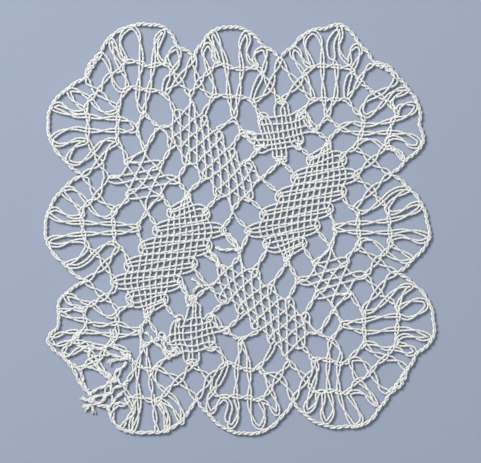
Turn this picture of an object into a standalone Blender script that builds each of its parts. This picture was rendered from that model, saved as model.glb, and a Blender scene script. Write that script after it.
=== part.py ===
import bpy
import numpy as np
from mathutils import Vector
from mathutils.geometry import delaunay_2d_cdt

# A square of bobbin lace lying flat: one sheet with a rim of twelve fans, cut through at the open gaps.
# The layout is charted like a lace pricking. One chart unit is one scan step of the flat piece;
# x runs right and y runs down in the chart, and the sheet is turned to x right, y up, z up.
CHART_UNIT = 0.0254 / 150
SHEET_THICKNESS = 0.001
RIM_REACH = 1.9
WEB_HALF_WIDTH = 2.3
CORNER_ROUNDING = 0.22
SMALLEST_GAP_AREA = 24.0
SMALLEST_GAP_WIDTH = 3.4
SHORTEST_SIDE = 1.0
SHORTEST_DRAWN_SIDE = 2.0
FLATTEST_CORNER = 0.15
LARGEST_PIN_COUNT = 12
MERGE_DISTANCE = 1e-8
RIM_STEPS = 3
COTTON_WHITE = (0.86, 0.85, 0.80, 1.0)
COTTON_ROUGHNESS = 0.85

# The worked areas. Each is a block of pins, counted i down to the right and j down to the left,
# and its four outer pins n, e, s and w say where it lies; the pins between them are spaced evenly.
AREAS = [
    dict(name="half stitch, upper", i=(0, 5), j=(0, 2), n=(190, 95), e=(261, 179), s=(233, 215), w=(158, 127)),
    dict(name="half stitch, left", i=(0, 2), j=(3, 5), n=(145, 150), e=(177, 180), s=(147, 212), w=(107, 177)),
    dict(name="cloth, left", i=(3, 5), j=(3, 8), n=(187, 193), e=(221, 230), s=(148, 319), w=(116, 282)),
    dict(name="cloth, upper", i=(3, 5), j=(-3, -1), n=(280, 102), e=(315, 131), s=(281, 161), w=(242, 131)),
    dict(name="cloth, right", i=(6, 8), j=(-3, 2), n=(328, 140), e=(354, 176), s=(288, 262), w=(250, 231)),
    dict(name="half stitch, lower", i=(6, 11), j=(3, 5), n=(240, 252), e=(319, 333), s=(289, 362), w=(208, 287)),
    dict(name="half stitch, right", i=(9, 11), j=(0, 2), n=(331, 247), e=(366, 276), s=(334, 309), w=(298, 280)),
    dict(name="cloth, lower", i=(6, 8), j=(6, 8), n=(193, 300), e=(226, 330), s=(192, 364), w=(160, 338)),
]

# The twelve fans, clockwise from the upper left. hub: where the legs meet, at its place among the pins.
# a, b, top, c, d: the rim, from the fan's first pin to its last. cross_in, cross_out: the ground
# crossings on its two sides. ring_in, ring_out: where the inner ring starts and ends. hub_in, hub_out:
# the pins beside the hub. Small pairs are pin counts, large pairs are chart units.
FANS = [
    dict(hub=(144, 113), at=(-1, 2), a=(111, 38), b=(133, 26), top=(150, 23), c=(165, 28), d=(178, 47),
         cross_in=(112, 75), cross_out=(179, 80), ring_in=(118, 109), ring_out=(0, 1),
         hub_in=(136, 129), hub_out=(0, 2)),
    dict(hub=(234, 119), at=(2, -1), a=(204, 43), b=(212, 32), top=(231, 25), c=(245, 30), d=(263, 46),
         cross_in=(199, 82), cross_out=(268, 85), ring_in=(1, 0), ring_out=(3, -2),
         hub_in=(2, 0), hub_out=(3, -1)),
    dict(hub=(327, 117), at=(5, -4), a=(294, 47), b=(309, 32), top=(325, 27), c=(341, 25), d=(360, 45),
         cross_in=(298, 84), cross_out=(353, 72), ring_in=(4, -3), ring_out=(350, 101),
         hub_in=(5, -3), hub_out=(340, 128)),
    dict(hub=(340, 128), at=(6, -4), a=(408, 91), b=(419, 108), top=(421, 125), c=(423, 142), d=(406, 160),
         cross_in=(376, 93), cross_out=(371, 161), ring_in=(358, 111), ring_out=(7, -3),
         hub_in=(327, 117), hub_out=(6, -3)),
    dict(hub=(337, 228), at=(9, -1), a=(409, 190), b=(421, 204), top=(429, 222), c=(429, 238), d=(412, 260),
         cross_in=(372, 190), cross_out=(377, 260), ring_in=(8, -2), ring_out=(10, 0),
         hub_in=(8, -1), hub_out=(9, 0)),
    dict(hub=(343, 324), at=(12, 2), a=(413, 285), b=(429, 303), top=(435, 319), c=(433, 337), d=(416, 354),
         cross_in=(378, 291), cross_out=(384, 357), ring_in=(11, 1), ring_out=(347, 361),
         hub_in=(11, 2), hub_out=(331, 340)),
    dict(hub=(331, 340), at=(12, 3), a=(378, 408), b=(366, 423), top=(346, 428), c=(325, 425), d=(305, 414),
         cross_in=(358, 380), cross_out=(306, 379), ring_in=(347, 364), ring_out=(11, 4),
         hub_in=(343, 324), hub_out=(11, 3)),
    dict(hub=(239, 340), at=(9, 6), a=(281, 416), b=(263, 431), top=(244, 435), c=(229, 430), d=(209, 414),
         cross_in=(278, 379), cross_out=(209, 378), ring_in=(10, 5), ring_out=(8, 7),
         hub_in=(9, 5), hub_out=(8, 6)),
    dict(hub=(143, 346), at=(6, 9), a=(180, 421), b=(165, 431), top=(150, 433), c=(131, 431), d=(112, 418),
         cross_in=(179, 380), cross_out=(112, 400), ring_in=(7, 8), ring_out=(120, 384),
         hub_in=(6, 8), hub_out=(139, 329)),
    dict(hub=(139, 329), at=(5, 9), a=(65, 357), b=(49, 341), top=(57, 325), c=(58, 309), d=(66, 294),
         cross_in=(95, 357), cross_out=(103, 296), ring_in=(118, 345), ring_out=(4, 8),
         hub_in=(143, 346), hub_out=(5, 8)),
    dict(hub=(136, 228), at=(2, 6), a=(66, 264), b=(48, 243), top=(44, 228), c=(49, 212), d=(63, 190),
         cross_in=(105, 265), cross_out=(97, 196), ring_in=(3, 7), ring_out=(1, 5),
         hub_in=(3, 6), hub_out=(2, 5)),
    dict(hub=(136, 129), at=(-1, 3), a=(66, 160), b=(51, 140), top=(47, 122), c=(51, 108), d=(68, 89),
         cross_in=(100, 162), cross_out=(91, 100), ring_in=(0, 4), ring_out=(118, 109),
         hub_in=(0, 3), hub_out=(144, 113)),
]

# The twelve valleys of the rim: where the fan before ends, where the fan after starts, and the crossing
# inside. At a corner of the square the rim runs on as a rope from the end to the start.
VALLEYS = [
    dict(end=(86, 79), start=(101, 54), inner=(98, 93), corner=True),
    dict(end=(194, 57), start=(194, 57), inner=(0, 0), corner=False),
    dict(end=(280, 59), start=(280, 59), inner=(3, -3), corner=False),
    dict(end=(373, 64), start=(395, 78), inner=(361, 82), corner=True),
    dict(end=(390, 174), start=(390, 174), inner=(8, -3), corner=False),
    dict(end=(396, 273), start=(396, 273), inner=(11, 0), corner=False),
    dict(end=(407, 369), start=(389, 393), inner=(371, 372), corner=True),
    dict(end=(293, 400), start=(293, 400), inner=(11, 5), corner=False),
    dict(end=(197, 399), start=(197, 399), inner=(8, 8), corner=False),
    dict(end=(104, 405), start=(79, 378), inner=(112, 380), corner=True),
    dict(end=(86, 281), start=(86, 281), inner=(3, 8), corner=False),
    dict(end=(84, 175), start=(84, 175), inner=(0, 5), corner=False),
]

# The outer bulge of each corner rope, between its end and its start.
CORNER_ROPES = {0: (91, 66), 3: (385, 68), 6: (400, 383), 9: (90, 400)}

# The gaps of one fan, charted once on the fan at the middle of the right side, each by its corners.
MASTER_FAN = 4
FAN_GAPS = [
    dict(name="first valley", corners=[(389, 176), (409, 189), (383, 200), (373, 190)]),
    dict(name="first loop", corners=[(409, 191), (421, 204), (403, 210), (388, 210)]),
    dict(name="middle", corners=[(389, 220), (423, 207), (429, 238), (390, 233)]),
    dict(name="last loop", corners=[(392, 241), (429, 239), (412, 260), (399, 250)]),
    dict(name="last valley", corners=[(385, 253), (412, 261), (396, 273), (377, 260)]),
    dict(name="first band", corners=[(358, 213), (382, 200), (389, 220), (358, 223)]),
    dict(name="middle band", corners=[(358, 223), (389, 220), (390, 233), (358, 232)]),
    dict(name="last band", corners=[(358, 232), (390, 233), (385, 252), (360, 241)]),
    dict(name="first inner", corners=[(357, 209), (372, 192), (382, 200), (362, 212)]),
    dict(name="last inner", corners=[(360, 244), (382, 251), (377, 260), (362, 250)]),
]
RING_FIRST = (357, 214)
RING_EARLY = (357, 222)
RING_LATE = (358, 232)
RING_LAST = (359, 245)
TURN_FIRST = (357, 209)
TURN_LAST = (359, 248)


def pin(i, j):
    """The place of one pin of the ground, or None where there is no pin."""
    for area in AREAS:
        (i0, i1), (j0, j1) = area["i"], area["j"]
        if i0 <= i <= i1 and j0 <= j <= j1:
            u = (i - i0) / (i1 - i0)
            v = (j - j0) / (j1 - j0)
            n, e, s, w = (np.array(area[side], float) for side in "nesw")
            return (1 - u) * (1 - v) * n + u * (1 - v) * e + u * v * s + (1 - u) * v * w
    for fan in FANS:
        if fan["at"] == (i, j):
            return np.array(fan["hub"], float)
    return None


def place(value):
    """A table entry as a chart point: a small pair counts pins."""
    if max(abs(value[0]), abs(value[1])) <= LARGEST_PIN_COUNT:
        return pin(*value)
    return np.array(value, float)


def fan_marks(k):
    """The fourteen points by which one fan is fitted to its place."""
    fan = FANS[k]
    before = VALLEYS[k]
    after = VALLEYS[(k + 1) % len(VALLEYS)]
    marks = [before["start"], fan["a"], fan["b"], fan["top"], fan["c"], fan["d"], after["end"]]
    marks += [fan["hub"], fan["cross_in"], fan["cross_out"], fan["ring_in"], fan["ring_out"]]
    marks += [fan["hub_in"], fan["hub_out"]]
    return np.array([place(mark) for mark in marks])


def bend(distance):
    """The thin plate weight, distance squared times its logarithm."""
    return np.where(distance > 0, distance ** 2 * np.log(np.maximum(distance, 1e-9)), 0.0)


def fan_fit(k):
    """The smooth map that takes the marks of the master fan to the marks of fan k."""
    source = fan_marks(MASTER_FAN)
    target = fan_marks(k)
    count = len(source)
    kernel = bend(np.linalg.norm(source[:, None] - source[None], axis=2))
    plane = np.hstack([np.ones((count, 1)), source])
    system = np.block([[kernel, plane], [plane.T, np.zeros((3, 3))]])
    weights = np.linalg.solve(system, np.vstack([target, np.zeros((3, 2))]))

    def fit(points):
        points = np.atleast_2d(np.array(points, float))
        kernel = bend(np.linalg.norm(points[:, None] - source[None], axis=2))
        return kernel @ weights[:count] + weights[count] + points @ weights[count + 1:]

    return fit


def in_one_area(i, j):
    """Whether the cell below pin i, j is worked over as part of an area."""
    for area in AREAS:
        if area["i"][0] <= i < area["i"][1] and area["j"][0] <= j < area["j"][1]:
            return True
    return False


def ground_gaps():
    """The round holes of the ground: the pin cells between two areas."""
    gaps = []
    for i in range(-1, 12):
        for j in range(-4, 9):
            cell = [pin(i, j), pin(i + 1, j), pin(i + 1, j + 1), pin(i, j + 1)]
            if any(corner is None for corner in cell) or in_one_area(i, j):
                continue
            gaps.append(cell)
    return gaps


def fan_gaps():
    """The gaps inside each fan, and those between its sides and the ground."""
    gaps = []
    fits = [fan_fit(k) for k in range(len(FANS))]
    for k, fan in enumerate(FANS):
        fit = fits[k]
        before = VALLEYS[k]
        after = VALLEYS[(k + 1) % len(VALLEYS)]
        first, early, late, last, turn_in, turn_out = fit(
            [RING_FIRST, RING_EARLY, RING_LATE, RING_LAST, TURN_FIRST, TURN_LAST])
        for gap in FAN_GAPS:
            gaps.append(list(fit(gap["corners"])))
        ring_in = place(fan["ring_in"])
        ring_out = place(fan["ring_out"])
        cross_in = place(fan["cross_in"])
        cross_out = place(fan["cross_out"])
        hub = place(fan["hub"])
        if before["corner"]:
            other = fits[k - 1](RING_LATE)[0]
            gaps.append([place(before["end"]), place(before["start"]), cross_in, place(before["inner"])])
            gaps.append([ring_in, early, hub, place(FANS[k - 1]["hub"]), other])
        else:
            gaps.append([place(before["start"]), cross_in, place(before["inner"]),
                         place(FANS[k - 1]["cross_out"])])
            gaps.append([ring_in, first, early, hub, place(fan["hub_in"])])
        if not after["corner"]:
            gaps.append([ring_out, place(fan["hub_out"]), hub, late, last])
        gaps.append([place(before["inner"]), cross_in, turn_in, ring_in])
        gaps.append([ring_out, turn_out, cross_out, place(after["inner"])])
    return gaps


def shoelace(loop):
    """The signed area of a loop."""
    ahead = np.roll(loop, -1, axis=0)
    return 0.5 * float(np.sum(loop[:, 0] * ahead[:, 1] - ahead[:, 0] * loop[:, 1]))


def rounded_gap(corners):
    """A gap drawn in by half a web all round, with its corners cut off; None if too little is left."""
    corners = np.array(corners, float)
    if shoelace(corners) < 0:
        corners = corners[::-1]
    edge = np.roll(corners, -1, axis=0) - corners
    length = np.linalg.norm(edge, axis=1)
    corners = corners[length > SHORTEST_SIDE]
    edge = np.roll(corners, -1, axis=0) - corners
    length = np.linalg.norm(edge, axis=1)
    inward = np.stack([-edge[:, 1], edge[:, 0]], axis=1) / length[:, None]
    offset = np.sum(inward * corners, axis=1) + WEB_HALF_WIDTH
    drawn = []
    for k in range(len(corners)):
        pair = np.array([inward[k - 1], inward[k]])
        if abs(np.linalg.det(pair)) < FLATTEST_CORNER:
            drawn.append(corners[k] + inward[k] * WEB_HALF_WIDTH)
        else:
            drawn.append(np.linalg.solve(pair, [offset[k - 1], offset[k]]))
    drawn = np.array(drawn)
    ahead = np.roll(drawn, -1, axis=0)
    if np.any(np.sum((ahead - drawn) * edge, axis=1) < SHORTEST_DRAWN_SIDE):
        return None
    near = drawn * (1 - CORNER_ROUNDING) + ahead * CORNER_ROUNDING
    far = drawn * CORNER_ROUNDING + ahead * (1 - CORNER_ROUNDING)
    loop = np.stack([near, far], axis=1).reshape(-1, 2)
    area = shoelace(loop)
    spread = loop - loop.mean(axis=0)
    longest = 2 * np.abs(spread @ np.linalg.svd(spread)[2][0]).max()
    if area < SMALLEST_GAP_AREA or area / longest < SMALLEST_GAP_WIDTH:
        return None
    return loop


def rim_loop():
    """The outer edge: a smooth curve through the rim pins, moved out by the rim's half width."""
    stops = []
    for k, fan in enumerate(FANS):
        before = VALLEYS[k]
        if before["corner"]:
            stops += [before["end"], CORNER_ROPES[k]]
        stops += [before["start"], fan["a"], fan["b"], fan["top"], fan["c"], fan["d"]]
    stops = np.array(stops, float)
    back, here, ahead, beyond = (np.roll(stops, -n, axis=0) for n in (-1, 0, 1, 2))
    curve = []
    for step in range(RIM_STEPS):
        t = step / RIM_STEPS
        curve.append(0.5 * (2 * here + (ahead - back) * t + (2 * back - 5 * here + 4 * ahead - beyond) * t ** 2
                            + (3 * here - back - 3 * ahead + beyond) * t ** 3))
    curve = np.stack(curve, axis=1).reshape(-1, 2)
    along = np.roll(curve, -1, axis=0) - np.roll(curve, 1, axis=0)
    outward = np.stack([along[:, 1], -along[:, 0]], axis=1) / np.linalg.norm(along, axis=1)[:, None]
    return curve + outward * RIM_REACH


def lace_sheet():
    """The sheet: the outer edge and the gaps filled with triangles, on two sides, with walls between."""
    rim = rim_loop()
    gaps = [rounded_gap(corners) for corners in ground_gaps() + fan_gaps()]
    gaps = [gap for gap in gaps if gap is not None]
    middle = (rim.min(axis=0) + rim.max(axis=0)) / 2
    loops = []
    for loop in [rim] + gaps:
        flat = (loop - middle) * CHART_UNIT * np.array([1.0, -1.0])
        if shoelace(flat) < 0:
            flat = flat[::-1]
        loops.append(flat)
    print("chart middle", middle, "gaps", len(gaps))
    starts = np.cumsum([0] + [len(loop) for loop in loops])
    points = np.vstack(loops)
    rings = [list(range(starts[n], starts[n + 1])) for n in range(len(loops))]
    found = delaunay_2d_cdt([Vector(point) for point in points], [], rings, 1, MERGE_DISTANCE)
    flat_points = found[0]
    if len(flat_points) != len(points):
        raise ValueError("two loops cross")
    order = [origin[0] for origin in found[3]]
    triangles = []
    for face, origins in zip(found[2], found[5]):
        if list(origins) == [0]:
            triangles.append([order[corner] for corner in face])
    count = len(points)
    low = np.column_stack([points, np.zeros(count)])
    high = np.column_stack([points, np.full(count, SHEET_THICKNESS)])
    faces = [[a + count, b + count, c + count] for a, b, c in triangles]
    faces += [[c, b, a] for a, b, c in triangles]
    for number, ring in enumerate(rings):
        for a, b in zip(ring, ring[1:] + ring[:1]):
            wall = [a, b, b + count, a + count]
            if number > 0:
                wall = wall[::-1]
            faces += [[wall[0], wall[1], wall[2]], [wall[0], wall[2], wall[3]]]
    mesh = bpy.data.meshes.new("lace")
    mesh.from_pydata(np.vstack([low, high]).tolist(), [], faces)
    mesh.validate()
    mesh.update()
    return mesh


for stale in list(bpy.data.objects):
    bpy.data.objects.remove(stale)

cotton = bpy.data.materials.new("cotton")
cotton.use_nodes = True
shader = cotton.node_tree.nodes["Principled BSDF"]
shader.inputs["Base Color"].default_value = COTTON_WHITE
shader.inputs["Roughness"].default_value = COTTON_ROUGHNESS
cotton.diffuse_color = COTTON_WHITE

lace_mesh = lace_sheet()
lace_mesh.materials.append(cotton)
lace = bpy.data.objects.new("lace", lace_mesh)
bpy.context.scene.collection.objects.link(lace)
print("triangles", len(lace_mesh.polygons))
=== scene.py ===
import bpy
import numpy as np
from mathutils.bvhtree import BVHTree
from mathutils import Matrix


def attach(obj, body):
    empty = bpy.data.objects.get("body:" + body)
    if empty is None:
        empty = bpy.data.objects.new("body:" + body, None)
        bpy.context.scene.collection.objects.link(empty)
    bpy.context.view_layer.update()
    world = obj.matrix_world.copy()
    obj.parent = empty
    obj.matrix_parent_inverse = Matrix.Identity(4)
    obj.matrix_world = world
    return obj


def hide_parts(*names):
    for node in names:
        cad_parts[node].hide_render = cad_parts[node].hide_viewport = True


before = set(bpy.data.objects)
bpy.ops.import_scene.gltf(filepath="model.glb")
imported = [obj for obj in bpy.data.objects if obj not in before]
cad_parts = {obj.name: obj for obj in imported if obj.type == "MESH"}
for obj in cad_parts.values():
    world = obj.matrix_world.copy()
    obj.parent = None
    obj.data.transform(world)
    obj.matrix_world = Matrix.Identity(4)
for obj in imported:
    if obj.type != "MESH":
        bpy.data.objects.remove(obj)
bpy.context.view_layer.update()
print("frame loaded")

# The chart, in the units of the flat piece: x right, y down, 150 units an inch. Pins are numbered (i, j):
# i grows down to the right and j down to the left. A block is given by its four corner pins.
areas = [
    dict(name="A", kind="half", i=(0, 5), j=(0, 2), n=(190, 95), e=(261, 179), s=(233, 215), w=(158, 127)),
    dict(name="B", kind="half", i=(0, 2), j=(3, 5), n=(145, 150), e=(177, 180), s=(147, 212), w=(107, 177)),
    dict(name="L", kind="cloth", i=(3, 5), j=(3, 8), n=(187, 193), e=(221, 230), s=(148, 319), w=(116, 282)),
    dict(name="T", kind="small", i=(3, 5), j=(-3, -1), n=(280, 102), e=(315, 131), s=(281, 161),
         w=(242, 131)),
    dict(name="R", kind="cloth", i=(6, 8), j=(-3, 2), n=(328, 140), e=(354, 176), s=(288, 262), w=(250, 231)),
    dict(name="C", kind="half", i=(6, 11), j=(3, 5), n=(240, 252), e=(319, 333), s=(289, 362), w=(208, 287)),
    dict(name="D", kind="half", i=(9, 11), j=(0, 2), n=(331, 247), e=(366, 276), s=(334, 309), w=(298, 280)),
    dict(name="Q", kind="small", i=(6, 8), j=(6, 8), n=(193, 300), e=(226, 330), s=(192, 364), w=(160, 338)),
]

# The fans, clockwise from the upper left: the hub and its pin number, the rim's pins, where the ring meets
# the two side legs, and the pins or chart places where the inner ring and the hub's links end.
fanColumns = "hub at a b top c d crossIn crossOut ringIn ringOut hubIn hubOut".split()
fanRows = [
    "144,113 -1,2 111,38 133,26 150,23 165,28 178,47 112,75 179,80 118,109 0,1 136,129 0,2",
    "234,119 2,-1 204,43 212,32 231,25 245,30 263,46 199,82 268,85 1,0 3,-2 2,0 3,-1",
    "327,117 5,-4 294,47 309,32 325,27 341,25 360,45 298,84 353,72 4,-3 350,101 5,-3 340,128",
    "340,128 6,-4 408,91 419,108 421,125 423,142 406,160 376,93 371,161 358,111 7,-3 327,117 6,-3",
    "337,228 9,-1 409,190 421,204 429,222 429,238 412,260 372,190 377,260 8,-2 10,0 8,-1 9,0",
    "343,324 12,2 413,285 429,303 435,319 433,337 416,354 378,291 384,357 11,1 347,361 11,2 331,340",
    "331,340 12,3 378,408 366,423 346,428 325,425 305,414 358,380 306,379 347,364 11,4 343,324 11,3",
    "239,340 9,6 281,416 263,431 244,435 229,430 209,414 278,379 209,378 10,5 8,7 9,5 8,6",
    "143,346 6,9 180,421 165,431 150,433 131,431 112,418 179,380 112,400 7,8 120,384 6,8 139,329",
    "139,329 5,9 65,357 49,341 57,325 58,309 66,294 95,357 103,296 118,345 4,8 143,346 5,8",
    "136,228 2,6 66,264 48,243 44,228 49,212 63,190 105,265 97,196 3,7 1,5 3,6 2,5",
    "136,129 -1,3 66,160 51,140 47,122 51,108 68,89 100,162 91,100 0,4 118,109 0,3 144,113",
]
fans = [dict(zip(fanColumns, [tuple(int(number) for number in spot.split(",")) for spot in row.split()]))
        for row in fanRows]

# Between two fans: where one rim ends and the next one starts, the pin inside, and the top of a corner rope.
valleys = [
    dict(end=(86, 79), start=(101, 54), bulge=(91, 66)),
    dict(end=(194, 57), start=(194, 57), inner=(0, 0)),
    dict(end=(280, 59), start=(280, 59), inner=(3, -3)),
    dict(end=(373, 63), start=(397, 77), bulge=(387, 67.5)),
    dict(end=(390, 174), start=(390, 174), inner=(8, -3)),
    dict(end=(396, 273), start=(396, 273), inner=(11, 0)),
    dict(end=(407, 369), start=(389, 393), bulge=(400, 383)),
    dict(end=(293, 400), start=(293, 400), inner=(11, 5)),
    dict(end=(197, 399), start=(197, 399), inner=(8, 8)),
    dict(end=(104, 405), start=(79, 378)),
    dict(end=(86, 281), start=(86, 281), inner=(3, 8)),
    dict(end=(84, 175), start=(84, 175), inner=(0, 5)),
]
masterFan = 4  # the fan that fanPairs charts
lastPin = 12  # larger numbers are chart places
# The gap between a pair's two threads, in general, in the ground's links, on the rim, and where a ring meets
# a pin. arch: how far the rim bows out between two pins. step: the spacing of points. fine: points a stop.
thread = dict(pairGap=3.3, linkGap=2.7, rimGap=2.1, pinGap=4, arch=0.08, step=0.9, fine=10)


def pinAt(i, j):
    for area in areas:
        (i0, i1), (j0, j1) = area["i"], area["j"]
        if i0 <= i <= i1 and j0 <= j <= j1:
            return inArea(area, i, j)
    for fan in fans:
        if fan["at"] == (i, j):
            return np.array(fan["hub"], float)
    return None


def inArea(area, i, j):  # chart place of a fractional pin, mixed from the area's four corners
    u = ((np.asarray(i, float) - area["i"][0]) / (area["i"][1] - area["i"][0]))[..., None]
    v = ((np.asarray(j, float) - area["j"][0]) / (area["j"][1] - area["j"][0]))[..., None]
    n, e, s, w = (np.array(area[side], float) for side in "nesw")
    return (1 - u) * (1 - v) * n + u * (1 - v) * e + u * v * s + (1 - u) * v * w


def place(value):  # a table entry as a chart place: a small pair is a pin's number
    if max(abs(value[0]), abs(value[1])) <= lastPin:
        return pinAt(*value)
    return np.array(value, float)


def readStops(text):  # "x,y x,y,twists x,y,twists,gap" as tuples of numbers
    return [tuple(float(number) for number in stop.split(",")) for stop in text.split()]


def fanMarks(k):
    fan, before, after = fans[k], valleys[k], valleys[(k + 1) % len(fans)]
    marks = [before["start"], fan["a"], fan["b"], fan["top"], fan["c"], fan["d"], after["end"], fan["hub"],
             fan["crossIn"], fan["crossOut"], fan["ringIn"], fan["ringOut"], fan["hubIn"], fan["hubOut"]]
    return np.array([place(mark) for mark in marks])


def bend(distance):  # the thin plate's kernel: distance squared times its logarithm
    return np.where(distance > 0, distance ** 2 * np.log(np.maximum(distance, 1e-9)), 0.0)


def fanFit(k):  # thin plate map from the master fan to fan k
    source, target = fanMarks(masterFan), fanMarks(k)
    count = len(source)
    plane = np.hstack([np.ones((count, 1)), source])
    kernel = bend(np.linalg.norm(source[:, None] - source[None], axis=2))
    system = np.block([[kernel, plane], [plane.T, np.zeros((3, 3))]])
    weights = np.linalg.solve(system, np.vstack([target, np.zeros((3, 2))]))

    def fit(points):
        points = np.atleast_2d(np.array(points, float))
        kernel = bend(np.linalg.norm(points[:, None] - source[None], axis=2))
        return kernel @ weights[:count] + weights[count] + points @ weights[count + 1:]

    return fit


def denseCurve(points):
    # smooth curve through the points: cubic pieces, whose slopes weigh each neighbour by the root of its
    # distance
    points = np.asarray(points, float)
    padded = np.vstack([2 * points[0] - points[1], points, 2 * points[-1] - points[-2]])
    root = np.sqrt(np.maximum(np.linalg.norm(np.diff(padded, axis=0), axis=1), 1e-3))[:, None]
    p0, p1, p2, p3 = (padded[n:len(padded) - 3 + n] for n in range(4))
    d0, d1, d2 = (root[n:len(root) - 2 + n] for n in range(3))
    m1 = d1 * ((p1 - p0) / d0 - (p2 - p0) / (d0 + d1) + (p2 - p1) / d1)
    m2 = d1 * ((p2 - p1) / d1 - (p3 - p1) / (d1 + d2) + (p3 - p2) / d2)
    t = np.linspace(0, 1, thread["fine"], endpoint=False)[None, :, None]
    curve = ((2 * t ** 3 - 3 * t ** 2 + 1) * p1[:, None] + (t ** 3 - 2 * t ** 2 + t) * m1[:, None]
             + (3 * t ** 2 - 2 * t ** 3) * p2[:, None] + (t ** 3 - t ** 2) * m2[:, None])
    return np.vstack([curve.reshape(-1, 2), points[-1:]])


def lengthAlong(curve):
    return np.r_[0.0, np.cumsum(np.linalg.norm(np.diff(curve, axis=0), axis=1))]


def evenSteps(curve, step):
    along = lengthAlong(curve)
    stops = np.linspace(0, along[-1], max(3, int(round(along[-1] / step)) + 1))
    return np.stack([np.interp(stops, along, curve[:, axis]) for axis in (0, 1)], axis=1)


def sideways(curve):  # unit vectors across the curve
    ahead = np.gradient(curve, axis=0)
    return np.stack([-ahead[:, 1], ahead[:, 0]], axis=1) / np.linalg.norm(ahead, axis=1)[:, None]


def pairThreads(stops, gap=None):
    # two threads at plus and minus half the gap, times the cosine of a phase that grows half a turn a twist.
    # a stop is (x, y), or (x, y, twists up to the next such stop), or that with a gap of its own
    gap = thread["pairGap"] if gap is None else gap
    curve = denseCurve([stop[:2] for stop in stops])
    along = lengthAlong(curve)
    at = along[::thread["fine"]]
    marks = [k for k, stop in enumerate(stops) if len(stop) > 2]
    turns = np.cumsum([0] + [stops[k][2] for k in marks[:-1]]) * np.pi
    gaps = [stops[k][3] if len(stops[k]) > 3 else gap for k in marks]
    phase = np.interp(along, at[marks], turns)
    wide = np.interp(along, at[marks], gaps)
    side = np.cos(phase)
    side = side * (1.5 - 0.5 * side ** 2)  # the threads stay apart longer and cross faster
    shift = sideways(curve) * (side * wide / 2)[:, None]
    return [curve + shift, curve - shift]


strands = []  # each with its line, the pins or places it joins, its share of full thickness and its lift


def lay(lines, start=None, end=None, size=1.0, lift=0.0, loose=False):
    for line in lines:
        strands.append(dict(line=line, ends=[start, end], size=size, lift=lift, loose=loose))


# The master fan: each pair by its stops. It is fitted to every fan whose pair isn't charted below.
fanPairs = dict(
    rim="390,174,3 409,189,2 421,204,3 427,222,3 429,238,4 412,260,3 396,273,0",
    ring="372,190,1,5 377,198 382,202,1 387,210,1 389,220,1 390,233,1 391,244,1 385,252,1 377,260,1,5",
    inner="342,195,1 349,206 357,211,1 358,223,1 358.5,232,1 359,246,1 352,252 345.5,259,0",
    worker="390,174,1,4.5 372,190,1,5 362,200 355,209,1 361,212.5 371,209 382,200.5,0 390,193 400,188.5 "
           "409.3,189.2,1 405,192 396,197 387,209,1 391,213 403,210 412,204.5 420.8,203.6,1 419,209 "
           "407,215.5 389,220.5,1 375,222 358,223,1 345,223.5 334,228.5,1 345,231 358,232.5,1 375,232.5 "
           "390,232.5,1 404,230.5 418,232 429,237.2,1 421,242 411,239.5 401,236.5 389,240.5,1 392,245 "
           "400,250.5 412,259,1 404,262 396,259 385,252,1 380,246.5 372,240.5 363,239.5 357,246.5,1 "
           "366,252.5 377,260,1,5 396,273,0,4.5",
)

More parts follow.
